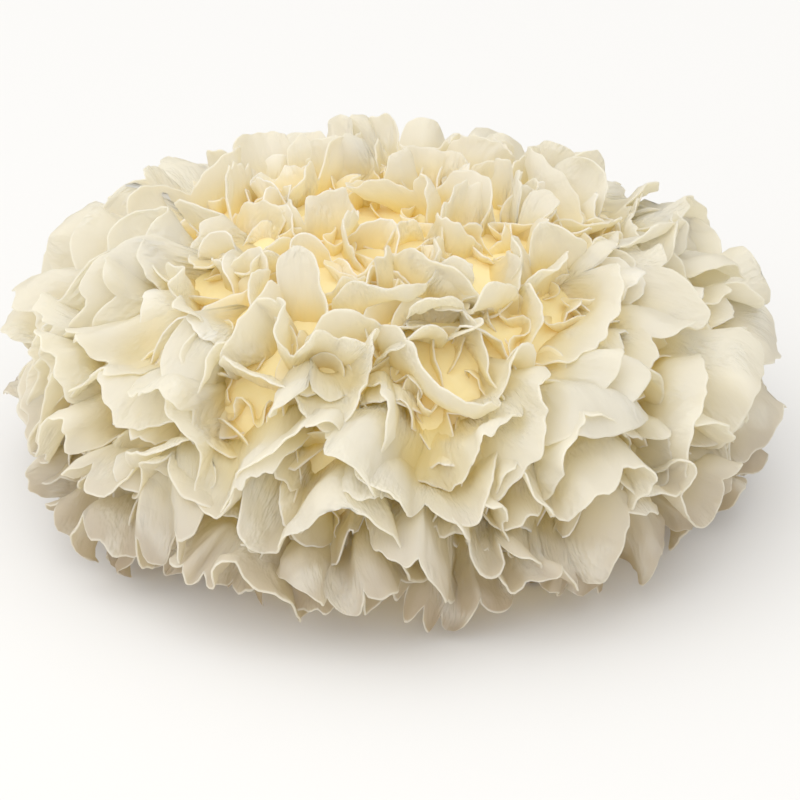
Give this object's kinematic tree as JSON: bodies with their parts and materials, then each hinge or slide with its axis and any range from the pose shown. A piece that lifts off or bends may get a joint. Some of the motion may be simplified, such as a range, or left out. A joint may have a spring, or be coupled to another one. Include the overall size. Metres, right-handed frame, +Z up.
{
  "type": "snow fungus",
  "caption": "Fresh snow fungus head: a low dome of thin, ruffled, translucent fronds that curl outwards, cut flat underneath where it grew on its log.",
  "frame": {"origin": "middle of the flat cut base, under the middle of the head's outline", "axes": "+Z up out of the cut base through the crown, -Y towards the viewer of the picture, +X to that viewer's right"},
  "size_m": [0.1993, 0.2004, 0.0858],
  "materials": {
    "fungus_flesh": "satin, translucent, warm white with amber in the deep folds"
  },
  "bodies": {
    "root": {"fruiting_body": "fungus_flesh"}
  },
  "joints": []
}
